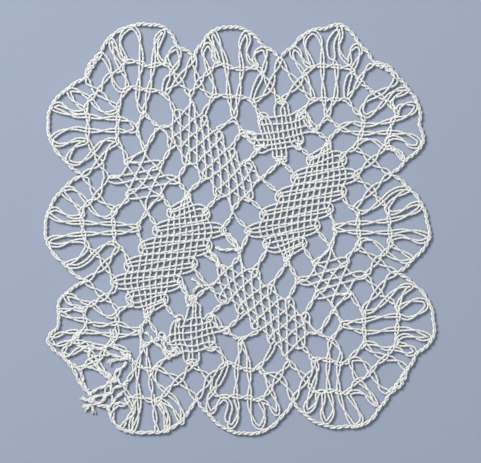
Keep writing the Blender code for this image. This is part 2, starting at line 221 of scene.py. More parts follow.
handFans = {
    0: dict(
        ring="98.5,93,1,4 103,84 108,76.5,1 115,72.5 121.5,69.5,1 124,64 130,61.5,1 141,63,1 148,66.5 "
             "154,65.5,1 162,64 170,66.5,1 174,73 179,80,1,5 190,95,0,4",
        inner="118,109,1 121,99 126.5,90,1 132,87 138.5,88.5,1 149,90.5,1 158,91 165,95,1 170,101 "
              "173.5,109,0",
        worker="101,54,1,4.5 107,61 111,72 113.5,82 120,90.5 126.5,89.5,1 126.5,80 121.5,69,1 115,57 "
               "111.5,47 111.5,40,1 115.5,46 120,55 127,61.5,1 123,53 120.5,44 122.5,34 132,27.5,1 138,33 "
               "140.5,45 141.5,62,1 139.5,78 138,91,1 138,104 143,112.5,1 146,103 148.5,92,1 151.5,78 "
               "153.5,64.5,1 154.5,50 156.5,38 163.5,31.5,1 160,42 158,53 161,61 169,65,1 167,58.5 "
               "171,51.5 177,47.8,1 180,55 178.5,63 173,71,1 167,80,0,5 164.5,88,0,4 165,94,1,3 171,88 "
               "179,80,1,5 194,57,0,4.5"),
    1: dict(
        ring="190,95,1,4 199,83,1,5 204,76.5 209.5,71.5,1 218,64,1 226.5,66,1 234,68.5 242,69,1 250,68.5 "
             "258,68,1 264,76 270,86,1,5 280,102,0,4",
        inner="205,110,1 210,103 213.5,97,1 221,95.5 229,96.5,1 238.5,97,1 246,98 252.5,101.5,1 256.5,109 "
              "260,115,0",
        worker="194,57,1,4.5 195.5,70 199,83,1,5 205,91.5 213,97,1 214.5,89 212,80 209,72,1 205.5,61 "
               "203,52 208,44.5,1 212,50 213,57 218,62.5,1 216.5,54 213.5,44 210.5,36.5 214,32.3,1 "
               "217.5,38 221,47 226,63,1 227.5,79 229,96,1 231,107 234.5,117,1 237,106 238.5,96,1 "
               "240.5,82 242,68,1 240.3,55 240.5,42 246,33,1 249,40 247,50 249,60 257,66.5,1 254,60 "
               "256,52 264,49,1 266,58 264,69,1 259.5,79,0,5 254.5,90,0,4 252.5,101,1,3 262,97 270,87,1,5 "
               "275,72 280,59,0,4.5"),
    2: dict(
        ring="280,102,1,4 298,84,1,5 304,75 309,69.5,1 316,66 322.5,66,1 336,66.5,1 343,68 350,68,1 "
             "356,76 362,83,1 369,89.5,0",
        inner="301,112,1 308,104.5 313.5,100,1 323.7,99.5,1 335.3,99.8,1 346.5,100,1 352,107 358,114,0",
        worker="280,59,1,4.5 287,71 298,84,1,5 305.5,93 313,99.5,1 311.5,90 307.5,80 303.5,72.5,1 296,62 "
               "291.5,54 294,48.3,1 299,51.5 302,58 307,65 312.5,66.5,1 309.5,58 305.5,48 305.5,39 "
               "313,32.3,1 319,37 321.8,46 322.3,56 322.3,66,1 322.8,82 323.8,98,1 325,108 327.3,116,1 "
               "331,107 335.3,98,1 336.5,82 336,66,1 331.5,55,0,7 331,43,0,7 336,33,1,5 339.5,27.5,1,3 "
               "341.3,35 339.2,45 341,55 349.5,63.5,1 349.8,56 352,49 357.5,45.5,1 361,51 358,59 "
               "353.5,68,1 349,78,0,5 346.5,88,0,5 346.7,98,1,3 352.5,92 358.8,82,1 364.5,72 373,63,0,4.5"),
    3: dict(
        ring="369,89.5,1 377,94.5,1,4 385,100 391.5,106.5,1 397,113.5,1 393,120,1 391,126 389,132.5,1 "
             "387,141,1 384,147.5,1 378,154.5 371,161,1,5 354,176,0,4",
        inner="358,114,1 363.5,119,1 363,125,1 361.5,133.5,1 358,141 354.5,148,1 347,152 340,156.5,0",
        worker="397,77,1,4.5 393.5,84 385,90 377,94.5,1,5 369,98.5 363.5,105 361.5,111 366,116.2,1 "
               "373,112.5 380,107 384.5,101.5,1 390,94.5 399,89.5 407.5,90,1 402,94 394.5,97.5 391.5,103 "
               "397,112,1 399,107 406,104 415.5,105,1 414,111 406,116.5 393,120,1 378,123.8 363,125,1 "
               "351,122.5 340,128,1 351,132 361,133.5,1 375,133 389,132.5,1 400,133 411,135.5 419,141.5,1 "
               "417,146.5 409.5,146 402.5,140 393,137.5 387,141.5,1 389.5,148 397,153 403,159.5,1 "
               "400,152.5 392,148 384,147.5,1 375,141 364,140 355,147.5,1 362,152.5 371,161,1,5 "
               "390,174,0,4.5"),
    5: dict(
        ring="366,276,1,4 378,291,1,5 385,297.5 391,300.5,1 397.5,308.5,1 398.5,316,1 397.5,323 397,329,1 "
             "396,336 396.5,343,1 391.5,349,1 388,354.5 384,358.5,1 377,364 371,371.5,0",
        inner="354,300,1 360.5,308 364,313.5,1 364,320.5,1 364.2,332,1 364.5,343,1 358,350 352.5,355.5,1 "
              "347,362,0",
        worker="396,273,1,4.5 388,277.5 378,291,1,5 371,299.5 365,306.5 364.5,311.5,1 372,311 380,305.5 "
               "386,299.5,1 395,290.5 404,285.5 411.5,286.5,1 406,291 401,298 398,308,1 404,304.5 "
               "413,300.5 424.5,301,1 426,307 417,314.5 407,318.3 398.5,315.5,1 385,316.5 374,318 "
               "364,320.5,1 353,321.5 342,324,1 352,328.5 364,332,1 379,331.5 388,329.5 397,329,1 408,329 "
               "419,331.5 429.5,337,1 421,339 412,336.3 404,335.5 398.5,338.5,1 399,343.5,1 406,345 "
               "412,347.5 415,352,1 408,354.5 400,350 393,348.5,1 384,348.5 374,343.8 365,343.5,1 "
               "372,351.5 384,357,1,5 396,360 407,369,0,4.5"),
    6: dict(
        ring="371,371.5,1 365,377.5 356.5,381,1 351,387.5 346.5,392.5,1 339,392.5,1 333.5,390.5 329,391,1 "
             "322.5,391.5,1 315.5,391.5 311,388,1 308.5,383 306,379,1,5 289,362,0,4",
        inner="347,362,1 339,363.8,1 333,361 328,360.3,1 320,358.5 313.5,359.5,1 308,352.5 304,347.5,0",
        worker="389,393,1,4.5 381,388.5 376,380 371,371.5,1,5 365,363 358,359 350.5,360.5,1 352,368 "
               "356.5,379,1 363,384.5 370,392 376,404.5,1 371,401 364,394 356,391.5 348.5,394,1 353,402 "
               "359,412 361.5,420 355,426,1 349,419 344.5,410 341,401 339,392.5,1 338,378 338.8,363.5,1 "
               "341,354 338,346.5 331,340,1 329,350 328.2,363,1 327.7,378 329,391,1 332,402 333,413 "
               "326,422.5,1 321.8,413 323.5,402 322.5,391.5,1 317.5,394 316.5,402 311.5,409 307,411.5,1 "
               "305.5,406 309,397 312.5,388.5,1 316,377 317.5,367 313.5,359,1 313,369 306,379,1,5 "
               "293,400,0,4.5"),
    7: dict(
        ring="289,362,1,4 278,377,1,5 272,386 268.5,391.5,1 260.5,399,1 254,399.5 249.5,397,1 242.5,397.5 "
             "235.5,396,1 225,396.5,1 218.5,396 213.5,392,1 209,378,1,5 192,364,0,4",
        inner="268,356.5,1 259.5,366,1 253.5,369.5 248.8,370,1 242,368 236.3,366.5,1 231.5,363 "
              "226.5,362.5,1 222,354 216,346.5,0",
        worker="293,400,1,4.5 289,391 285,383 279,376.5,1,5 270,373.5 263,372.5 259.5,367.5,1 263,372 "
               "267,381 270.5,389,1 275,398 278,408 277,414,1 272,409 267,403 260,401,1 263.5,409 "
               "264.5,418 260,427.5,1 255,424 251.5,415 249.5,406 249.5,397.5,1 250,385 248.8,370,1 "
               "248,358 244.5,349 240.5,341,1 240,350 238,360 236.5,368.5,1 236.5,382 235.8,397,1 238,408 "
               "237,419 231,427,1 227.5,418,0,5 230,408,0,5 229,402,0,3 223.5,398.5,1,3 218,404 214,410 "
               "210.5,412.5,1 207.5,405 209,397 213.5,391.5,1 219,382,0,4.5 224,372,0,4.5 226.5,363.5,1,3 "
               "218,369.5 209.5,378,1,5 205.5,386 197,399,0,4.5"),
    11: dict(
        ring="107,177,1,4 100,162,1,5 95,154.5 91,146.5,1 88,138 88,130.5,1 88.3,123 88,116,1 86,109.5,1 "
             "88,102.5 93,96.5,1 98.5,93,0",
        inner="127,158,1 122.5,149 118,142,1 117.5,130.5,1 118.3,118.5,1 118,109,0",
        worker="84,175,1,4.5 100,162,1,5 105.5,153 111,146.5 117.5,142,1 111,139.7 103,141.5 95,150,1 "
               "87,158.5 77,164 68,160.5,1 71,152 77,146 87,141.5,1 78,139.7 68,143.3 58,145 51.5,140,1 "
               "57,134 66,130 77,128.5 88,130.5,1 103,131 117.5,130.5,1 128,132 136,129.5,1 130,122 "
               "118,118.5,1 103,118.5 88,116,1 75,116 63,112.5 52.5,107.5,1 59,104 66,107.5 75,112.5 "
               "86,111,1 79,105.5 72.5,99 69,90.5,1 76,90.5 84,94.5 91,99.5,1 97,107 105,113 113,112.5 "
               "118,108.5,1 110,102 103.5,96 98.5,93,1,5 92,87 86,79,0,4.5"),
}

# The two fans beside the mended corner, in shorter lengths: stops, and what the two ends join, or None where
# one ends loose. "start" and "end" are the two sides of a valley.
mendedFans = {
    (8, "rim"): [
        ("197,399,3 181,421,2 165,431,2 150,432.3,2 132,432,2 120,428,1 112,419,2 108,408,2 99,405,1 "
         "93,403,0",
         ("start", 8), None)],
    (8, "ring"): [
        ("192,364,1,4 179,380,1,5 170,387 166,393,1 157,400,1 150,400.5,1 145,398.5 139,396,1 132,397 "
         "127,393,1 125,385,0",
         (8, 8), None)],
    (8, "inner"): [
        ("174,353,1 161,362 156,367.5,1 149.5,369.5,1 143,368 138,364.5,1 133,361 129,358,0",
         (7, 8), None),
        ("134.5,363,1 133.5,371 129.5,378,1 125.5,384,0",
         None, None)],
    (8, "worker"): [
        ("197,399,1,4.5 179,380,1,5 167,373 157,368,1 154,375 158,384 168,393,1 176,400 182,411 182,423,1 "
         "178,417 172,407 158,399,1 163,406 168.5,415 167,431,1 165.5,421 162.5,410 157,401,0",
         ("start", 8), None),
        ("157,431.5,1 155,416,1 153.5,400,1 151,385,1 149,369,1 147,355 143.5,343,1 141,353 138,366,1 "
         "137.5,380 139,395,1 139.5,408 137.5,420 132,431.5,1 131,424 133.5,412 130,404 126,397,0",
         None, None),
        ("134,396,1 134.5,405 133,412,1 128,418 121.5,428,0",
         None, None),
        ("126,397,1 128,402.5 124,405 118.5,404,1 114.5,408 112,418,0",
         None, None)],
    (9, "rim"): [
        ("91,394,1 85,389,1 79,381,1 75.5,373,1 70,364.5,1 65,358.5,2 54,349.5,1 48,341,1 51,333.5,2 "
         "57.5,328,2 59,318,2 58.5,307,1 60,300,2 66,294,2 76,286,2 86,281,0",
         None, ("end", 10)),
        ("89,391,1 84,385,1 82.5,377,1 80.5,371,1 75,366,1 68,361,0",
         None, None)],
    (9, "ring"): [
        ("111,377,1 105,371.5 100.5,366,1 96,358 90,351.5,1 83,348 76,340,1 80,334 85,330,1 85.5,320,1 "
         "84.5,310,1 92,304,1 103,298,1,5 116,289,0,4",
         None, (3, 8))],
    (9, "inner"): [
        ("78,369,1 85,366.5 93,364,1 100,360 102.5,353,1 106.5,346.5 113,340.5,1 118,335 117,328,1 "
         "117.5,320,1 118.5,311,1 126,307 135,304,0",
         None, (4, 8)),
        ("112,329,1 112.5,338,1 114,346,0",
         None, None)],
    (9, "worker"): [
        ("50,339,1 57,335.5,1 65,332.5 74,331.5,1 85,331.5,1 100,333 115,335.5,1 128,335 142,330.5,1 "
         "131,328 119,323.5,1 108,324.5 98,324.5,1 86,320.5,1 72,318 59,311,1 66,310.3 75,309 84,310.5,1 "
         "77,306.5 70,303.5 66,295.5,1 74,296.5 82,301.5 92,304.5,1 98,309.5 105,315.5 112,317 118,312,1 "
         "112,303 103,296,1,5 86,281,0,4.5",
         None, ("end", 10)),
        ("50,340,1 56,345 63,343.5,1 70,341.5 78,342,1 86,342 93,345,1 104,346.5 114,346 124,349,1 "
         "130,354,0",
         None, None),
        ("63,357,1 64.5,350,1 70,343,1 76,336,1 83,331,0",
         None, None),
        ("62,354,1 70,355 78,350,1 86,346.5 95,347.5,0",
         None, None)],
}

# Ends left by starting, finishing and mending: path, how many threads, their spread, and their size.
looseEnds = [
    dict(path="127,362 121,368 117,371 115,378", threads=2),
    dict(path="122,368 120,373 118,378", threads=1),
    dict(path="124,390 119,396 113,402 109,406 104,406", threads=2),
    dict(path="122,385 116,388 111,392.5 105,395 97,396.5 91,396", threads=2),
    dict(path="111.5,381 111,390 112,396 113,401 116,404 120,403", threads=1),
    dict(path="111,385 107,387 105,390.5 107,393.3 110.5,391.8 111.8,386", threads=1),
    dict(path="107,396.5 103,400 99,402.5 93,402", threads=2),
    dict(path="110,381 104,386 98,389.5 92,392 87,391", threads=2),
    dict(path="111,378 118,379.5 121,383 126,384", threads=2),
    dict(path="109.7,355 103,355.5 97,356 92,358 87,361 84,366 80.5,371", threads=1),
    dict(path="89,350 90,357 93,363 99,368 105,372 111,378", threads=2),
    dict(path="84,367 92,368 99,371 105,376 112,381", threads=1),
    dict(path="93,346 101,349.5 110,353 118,357 126,359", threads=2),
    dict(path="113,346 119,350 125,354.5 130,357", threads=2),
    dict(path="145,332 150,337 155,342 160,347 165,353 170.5,359.5", threads=2),
    dict(path="222,236 226,234.5 231,235 236,243 240,250", threads=2),
    dict(path="215,248 222,249 231,250 239,250", threads=2),
    dict(path="203,253 209,257 214,261 219,267", threads=2),
    dict(path="210,250 214,254 217,259 220,266", threads=2),
    dict(path="183.7,282 185,288 186.5,296 188,304", threads=2),
    dict(path="186.5,305 190,305.5 194.5,307", threads=2),
    dict(path="191.5,278.5 195,281.5 199,283.5 204,287", threads=2),
    dict(path="203,285.5 199,286 195.5,289 192,292", threads=5, spread=1.8, size=0.6),
    dict(path="163,336 167,340 169,345", threads=2),
    dict(path="91,400 85,399.5 81,396.5", threads=6, spread=2.2, size=0.6),
    dict(path="91,404 86,406 82,405", threads=5, spread=2.0, size=0.6),
    dict(path="91,405 87,408 84,410", threads=5, spread=2.0, size=0.6),
    dict(path="92,404 93,409 94,414", threads=6, spread=2.2, size=0.6),
    dict(path="125,360 117,359.5 111,361 107.5,364.5", threads=6, spread=2.4, size=0.55),
]
# The threads of an end wave over this length, by one width for a pair and one for the rest. A knot is given
# by x, y, radius and turns.
looseWave = dict(length=9.0, offset=0.3, pair=1.1, lone=0.5, uneven=(3, 7))
knots = [(92, 400, 3.6, 5), (90, 394, 2.4, 3), (128, 357, 3.8, 5), (125, 384.5, 2.2, 3), (114, 380, 3.4, 4),
         (192, 299, 2.4, 2), (166, 340, 2.6, 3), (240, 249, 2.2, 2), (219, 266, 2.2, 2)]
knotShape = dict(points=40, middle=0.45, wave=0.4, waves=1.618, drift=0.15, drifts=0.7, tall=0.85, lift=0.9)


def layLooseEnds():
    for number, loose in enumerate(looseEnds):
        # the threads of an end spread towards its tip and wave about its path, two of them round each other
        curve = denseCurve(readStops(loose["path"]))
        along = lengthAlong(curve)
        reach = along / along[-1]
        count, spread = loose["threads"], loose.get("spread", 0)
        for n in range(count):
            phase = np.pi * (along / looseWave["length"] + n / count + looseWave["offset"] * number)
            wave = looseWave["lone"] * np.cos(3 * phase + n)
            if count == 2:
                wave = looseWave["pair"] * np.cos(phase)
            shift = ((2 * n + 1) / count - 1) * spread * reach + wave
            step, most = looseWave["uneven"]
            end = len(curve) - (n * step) % most if spread else len(curve)
            lay([(curve + sideways(curve) * shift[:, None])[:end]], size=loose.get("size", 1.0), loose=True)
    for x, y, radius, turns in knots:
        # a tangle: the radius swells and shrinks as the thread winds round
        angle = np.linspace(0, 2 * np.pi * turns, knotShape["points"] * turns)
        swell = knotShape["wave"] * np.cos(knotShape["waves"] * angle + x)
        drift = knotShape["drift"] * np.cos(knotShape["drifts"] * angle)
        reach = radius * (knotShape["middle"] + swell + drift)
        wound = [x + reach * np.cos(angle), y + knotShape["tall"] * reach * np.sin(angle)]
        lay([np.stack(wound, axis=1)], lift=knotShape["lift"], loose=True)


def arched(stops, hub):
    # a point between each two pins of the rim, out from the hub by a share of their distance
    made = []
    for one, other in zip(stops[:-1], stops[1:]):
        a, b = np.array(one[:2]), np.array(other[:2])
        out = np.array([b[1] - a[1], a[0] - b[0]])
        out *= np.sign(out @ ((a + b) / 2 - hub))
        made += [one, tuple((a + b) / 2 + out * thread["arch"])]
    return made + [stops[-1]]


def fanEnds(k, name):
    # what the two ends of a pair join: a valley's side, a pin, or a corner's place for one of the two rings
    after = (k + 1) % len(fans)
    if name in ("rim", "worker"):
        return ("start", k), ("end", after)
    if name == "ring":
        return valleys[k].get("inner", ("corner", k)), valleys[after].get("inner", ("corner", after))
    first, last = fans[k]["ringIn"], fans[k]["ringOut"]
    first = first if max(first) <= lastPin else ("knee", k)
    last = last if max(last) <= lastPin else ("knee", after)
    return first, last


def fittedStops(k, name):
    # the master fan's pair, fitted to fan k
    stops = readStops(fanPairs[name])
    warped = [tuple(spot) + stop[2:] for spot, stop in zip(fanFit(k)([stop[:2] for stop in stops]), stops)]
    if name == "rim":
        return arched(warped, fans[k]["hub"])
    if name == "ring":
        first, last = fanEnds(k, name)
        gap = thread["pinGap"]
        return [tuple(pinAt(*first)) + (1, gap)] + warped + [tuple(pinAt(*last)) + (0, gap)]
    return warped


def layFans():
    for k in range(len(fans)):
        for name in fanPairs:
            gap = thread["rimGap"] if name == "rim" else None
            if (k, name) in mendedFans:
                for text, start, end in mendedFans[(k, name)]:
                    lay(pairThreads(readStops(text), gap), start, end)
            else:
                text = handFans.get(k, {}).get(name)
                stops = readStops(text) if text else fittedStops(k, name)
                lay(pairThreads(stops, gap), *fanEnds(k, name))


def layLink(a, b, twists):
    stops = [tuple(pinAt(*a)) + (twists,), tuple(pinAt(*b)) + (0,)]
    lay(pairThreads(stops, thread["linkGap"]), a, b)


def layLinks():
    # one twisted pair over each seam of the ground, and from each hub to the pins or the hub beside it
    hubs = [fan["at"] for fan in fans]
    for area in areas:
        (i0, i1), (j0, j1) = area["i"], area["j"]
        for i in range(i0, i1 + 1):
            for j in range(j0, j1 + 1):
                for seam, other in ((i == i1, (i + 1, j)), (j == j1, (i, j + 1))):
                    if seam and other not in hubs and pinAt(*other) is not None:
                        layLink((i, j), other, 2)
    for k, fan in enumerate(fans):
        if max(fan["hubIn"]) <= lastPin:
            layLink(fan["at"], fan["hubIn"], 1)
        beside = fans[(k + 1) % len(fans)]["at"]
        layLink(fan["at"], fan["hubOut"] if max(fan["hubOut"]) <= lastPin else beside, 1)


def boundary(area):
    # pins down the left side and down the right side, from the top corner to the bottom one
    (i0, i1), (j0, j1) = area["i"], area["j"]
    left = [(i0, j) for j in range(j0, j1 + 1)] + [(i, j1) for i in range(i0 + 1, i1 + 1)]
    right = [(i, j0) for i in range(i0, i1 + 1)] + [(i1, j) for j in range(j0 + 1, j1 + 1)]
    return left, right


def onEdge(pins, t):
    low = int(np.clip(np.floor(t), 0, len(pins) - 2))
    a, b = pinAt(*pins[low]), pinAt(*pins[low + 1])
    return a + (b - a) * (t - low)


# The large woven blocks. pairs: side and pin where each passive pair enters and leaves. half: half the worker
# pair's gap. skew: how far a row starts past its pin. inset, slack: the passives' margins at the two edges.
# turns: how far past its pin the worker's inner and outer thread turn round.
cloth = dict(pairs=[("left", 4, "left", 6), ("left", 3, "left", 7), ("left", 2, "left", 7),
                    ("left", 1, "right", 6), ("left", 0, "right", 5), ("left", 0, "right", 4),
                    ("right", 1, "right", 3)],
             half=2.25, skew=0.25, inset=0.62, slack=0.24, turns=(2.1, 5.3))


def layCloth(area):
    left, right = boundary(area)
    last = len(left) - 1
    passes = np.arange(0.5, last, 0.5)
    rows = {t: (onEdge(left, t + cloth["skew"]), onEdge(right, t - cloth["skew"])) for t in passes}
    # passives: even spacing on each row between the two edges, by rank among the pairs there
    tracks = [[] for pair in cloth["pairs"]]
    for t in passes:
        active = []
        for n, (side0, start, side1, end) in enumerate(cloth["pairs"]):
            starts = start <= t if side0 == "left" else start < t
            ends = t < end if side1 == "left" else t <= end
            if starts and ends:
                active.append(n)
        for rank, n in enumerate(active):
            a, b = rows[t]
            for m in (0, 1):
                share = (2 * rank + m + cloth["inset"]) / (2 * len(active) + cloth["slack"])
                tracks[n].append((m, a + (b - a) * share))
    for n, (side0, start, side1, end) in enumerate(cloth["pairs"]):
        first = (left if side0 == "left" else right)[start]
        final = (left if side1 == "left" else right)[end]
        for m in (0, 1):
            track = [spot for which, spot in tracks[n] if which == m]
            points = np.array([pinAt(*first)] + track + [pinAt(*final)])
            points[1:-1] = (points[:-2] + 2 * points[1:-1] + points[2:]) / 4
            lay([denseCurve(points)], first, final)
    # the worker pair: to the right at whole t, to the left at half t, and round the pin between two rows
    outer, inner = [pinAt(*left[0])], [pinAt(*left[0])]
    near, far = cloth["turns"]
    for t in passes:
        rowLeft, rowRight = rows[t]
        upper = [rowLeft - (0, cloth["half"]), rowRight - (0, cloth["half"])]
        lower = [rowLeft + (0, cloth["half"]), rowRight + (0, cloth["half"])]
        toRight = float(t) == int(t)
        outer += lower if toRight else upper[::-1]
        inner += upper if toRight else lower[::-1]
        if t + 0.5 in rows:
            pin = pinAt(*right[int(t)]) if toRight else pinAt(*left[int(t + 0.5)])
            outer.append(pin + (near, 0) if toRight else pin - (far, 0))
            inner.append(pin + (far, 0) if toRight else pin - (near, 0))
    outer.append(pinAt(*left[-1]))
    inner.append(pinAt(*left[-1]))
    lay([denseCurve(outer), denseCurve(inner)])


# The half-stitch blocks and the small woven ones, charted a thread up to each semicolon: from a pin (i, j)
# counted in the block, by these points, to a pin. C is A turned half round, and B is D turned so.
halfThreads = dict(
    T="""
0,0 276,104 274.5,109 275,115 277,121 277.5,128 278.8,136 280,143 281.6,152 282,157.5 2,2; 0,0 283,105
281,109 281.5,115 282.2,121 282.8,128 283.5,136 285,143 286.4,152 286.6,157 2,2; 0,0 282,104 284.5,109
285.5,115 286.5,121 287.6,128 289,136 290.8,142 294.5,146.5 2,1; 0,0 287,103 288.4,109 289.7,115 291,121
292.5,128 293.6,136 296,142 2,1; 0,1 266,117 270,121 272.3,128 274,136 275.4,143 276.8,152 277.5,157.5 2,2;
0,1 264,118 266,121 268,128 270.3,136 271.6,143 272.7,152 273.6,157.5 2,2; 0,0 275.8,103.4 276,100.2
280,98.8 284.5,100 285.3,103 281.5,104.8 0,0; 2,2 275.6,160.6 276,157.6 281,156.6 286,157.8 286.4,160.8
282,163.6 2,2; 1,0 298,114 295.8,121 296,128 297.8,136 299,143 2,1; 1,0 299,115 299.6,121 300.5,128 302,135
303.5,141 2,1; 1,0 302,115 303.8,121 307,126 311,129.5 2,0; 1,0 306,113 308.6,119 311,125 2,0; 0,2 250,133
255.5,138.5 259,143 261,148 1,2; 0,2 247,135 251,141 255,147 259,151 1,2; 0,1 261,118 262,121.5 264,128
267,136 268,142 266,148 1,2; 0,1 259,117 258.4,121.5 260,128 262.6,136 263.8,142 264,148 1,2; 0,1
261.5,119.5 257.8,117 260,113.5 266,113.5 269.5,117.3 275,117 282,116 290,115.2 295.5,112.3 300,110.2
305,111 309,116 312,122 317,127 315.5,132.5 310,132 303,133.4 296,135.6 288,137.6 280,138.8 270,140 258,140
250,138.5 241.5,135 240,130 246,131 256,134 254,146 257,151.5 263,153 268.5,150.3 275,149 283,148.3
290,146.8 294,146.5 297,149.5 302,149 2,1; 0,1 263,118.5 259.5,121.5 260,124.5 270,124.3 280,124 290,122.8
297,121 303,118 306.5,115 304,112 300,113 305,118 309,123.5 313,127 306,126 300,127.5 293,129.2 285,131
275,132.5 265,133.7 256,134.2 247,133.5 244,132 246,137 251,143 257,145.8 262,146 270,145.2 280,143.6
290,142 298,140.8 303,142.5 2,1""",
    Q="""
0,0 188.8,307.5 187,314.4 184.7,321.5 183.4,327 183.2,334 183.8,340 186.6,346 189.2,352 189.2,360 2,2; 0,0
193.3,305.8 193,312.7 192.4,317.8 191.3,322 191.3,327.2 191.3,333.2 191.8,339.2 192.2,344.3 192.6,352
192.8,360.5 2,2; 0,0 196,305.8 195.6,312.7 196.3,317.8 196.8,322 196.2,327.2 196.5,331.5 196.7,337.4
197.7,344.3 199,352 198.8,360.5 2,2; 0,0 200.3,305.8 200.3,312.7 201.2,317.8 202.3,323 202.6,329.8 202,335
203,341 205,346.5 2,1; 0,1 173,323 171,328 170.2,333 169.5,339 171,344.5 173,348 1,2; 0,1 176.3,322.5
175.2,327 175.5,333 175.5,339 176.3,344.5 177.2,348 1,2; 0,1 179.3,322 178.8,327.5 179.5,333.5 179.9,339.5
181.6,346 183.2,351.5 183.7,357.5 185,361.5 2,2; 1,0 207,320 206.6,325.5 207.2,329.8 208.2,335.7 209.7,341
2,1; 1,0 210,320.5 210.7,325.5 211.9,329.8 214,335.7 215.3,341 2,1; 1,0 213.5,315.5 217.5,317.5 220.5,322
223,327 2,0; 0,2 163,341 165,346 168,351 1,2; 0,0 189.5,301 189.7,297 192.8,295.2 196.2,297 196.2,300.5
193,302.3 0,0; 2,2 187,364 187,360.8 192,359.4 197.5,360.8 197.8,364 192,366 2,2; 1,2 172,348.6 176.4,347.4
180.2,350 178,353.8 173.4,354.6 170,352 1,2; 0,1 179.8,321.2 176.4,318.6 177.6,315.6 181.5,315.4 183.6,318.2
184.9,321 189.2,319.2 196,317.8 200.3,317.4 204.5,318.8 206.5,315.3 210,313.2 214.3,315 215.3,319 217.3,325
221,330.8 226,334 229.8,331.3 228,327.8 222,327 216,327.2 210,328.1 202.9,329.9 196,331.5 189,332.7
180,333.2 171,334.9 166,337.3 161,337 158.7,334.3 162,332.3 165,334.5 166,339 168,343.5 172,344.9
178.9,344.3 184,345.1 189.2,346 196,345.6 202.9,343.4 211.4,341.7 215.5,343.5 216.5,347.5 213,350.7
208,350.2 205.5,347.5 2,1; 0,1 181,319 176,323.5 177.5,327 184.9,326.2 192.6,325.5 202.9,323.8 209.7,321.6
213,318.5 211,316 208,317.5 210.5,320.5 213.8,322.5 216,326.5 220.8,330 225,330.2 220,331.6 214.8,332.5
206.3,334.9 197.7,337.4 189.2,339.6 180.6,340 175.5,340.4 170.4,342.4 166,342 162.5,339.5 162,342.5
164.4,346 165.5,350.5 168.7,353.6 173.4,356 178.5,354 184.9,351 190.9,352 197.7,350.7 204.6,348.6 2,1""",
    A="""
0,0 193,104 196,111 199.5,116 204,122 210,129 215,134 219,139.5 224,146 229,152 236,160 240,163 245,166
250,170 256,172 5,0; 0,1 180,110 185,113 189,116 193,120 196,124 203,133 210,142 217,147.5 224,154 230,162
235,169 241,175 250,181.5 256,183 5,0; 0,1 175.5,116 178,122 182,126 190,132 198,140 202,146 209,155
217,161.5 224,168 230,174.5 236,182 240,186 246,191 250,194 5,1; 0,2 168,126 176,135 184,143 192,150
200,157.5 206,164 213,170.5 219,176 224,183 231,190 240,197 245,200 250,202 5,1; 0,2 165,131 169,137 176,145
183,155 191,163 199,170 206,177 210,179 213,184 217,189 221,193 227,197 230,203 5,2; 0,0 190,104.5 187,108
181,115.5 177,119.5 172,124 168,127 0,2; 1,0 199,116 192,120.5 187,126 181,131.5 176,135 172,138 1,2; 1,0
207,119 205,123.5 200,130 193,134.5 187,140 181,146.5 1,2; 2,0 214,131.5 207,137 201,143 197,146 191,151
187,155 2,2; 2,0 222,136 219,140.5 213,146.5 207,153 203,156 200,160 193,164.5 2,2; 3,0 226,150 219,156.5
214,162 208,167.5 204,170 3,2; 3,0 235,153 231,160 226,164.5 220,170.5 214,174.5 210,178 3,2; 4,0 245,160
241,166 234,174 227,181.5 220,187.5 216,190.5 4,2; 4,0 252,166 249,173.5 244,180.5 238,186.5 232,192 226,196
4,2; 5,0 259,179 253,187 250,191 243,198 238,202.5 234,206 5,2; 0,2 166,133 168,137 167.8,144 170,148.5
174,148 175.5,143 173,136 172.5,128 173,120 173.5,113 176,110 179.5,112 180.5,120 180.5,130 181,140 182,155
182.8,162 186,165.5 189.5,162 189,147 189,140 189.5,130 189.5,112 190,106 192,102 194.5,105 195,115 197,130
197,150 197.5,165 199,172 201,178.5 205,179 206.3,174 205,158 204,144 203,132 201.8,127 201.5,120 204,115.5
207,118 208.5,128 209.5,142 212,158 213,172 213.5,187 214,194 217.5,197 221,193 221.3,184 220.5,170 219,156
217,145 216.5,137 218,132 222,133 224,145 226,156 228,170 229,184 230,198 231,205 235,209 238.5,204 238,190
236,177 232.5,163 230.5,157 229.5,151.5 232.5,148.5 236,151.5 238,161 241,172 243,183 244.5,190 246,197
249.5,200.5 253,197 252,190 250,178 247.5,172 245.5,167 246,162 250,160.5 253.5,164 256,170 257,176 5,0""",
    D="""
0,0 336,258 347,269 357,277 2,0; 0,1 321,266 328,270 340,280 2,1; 0,1 315,271 321,278 331,287 341,295 2,1;
0,2 304,280 312,284 322,294 330,302 2,2; 0,0 322.5,255.5 317.5,262.5 314,269 310,276 303,281.5 0,2; 0,0
330,255 326,266 320,281 316,289 1,2; 1,0 344,263 338,268 330.5,278 325,290 1,2; 1,0 346,268 340,282 334,296
332,302 2,2; 2,0 361.4,276.5 354.4,280 350.4,287 346.9,293.5 341.9,300.5 2,2; 0,0 324,255 316,259.5
312.8,263 319,263 332,260.5 341,257.8 347.5,258.3 349.5,262 344,266.5 332.5,269.7 320,273.5 308,276.5
299.5,277.5 297,281 303,284.5 308,285 318,282 330,279 341,277 352,273 361,271.3 367,274 365,278 356.4,279.5
344.4,282.5 331.9,286.3 320.4,289.5 315,293.5 316.5,298 323.4,298 332.4,295.5 345.4,293.5 351.5,294
348,297.5 340,302 2,2""",
)


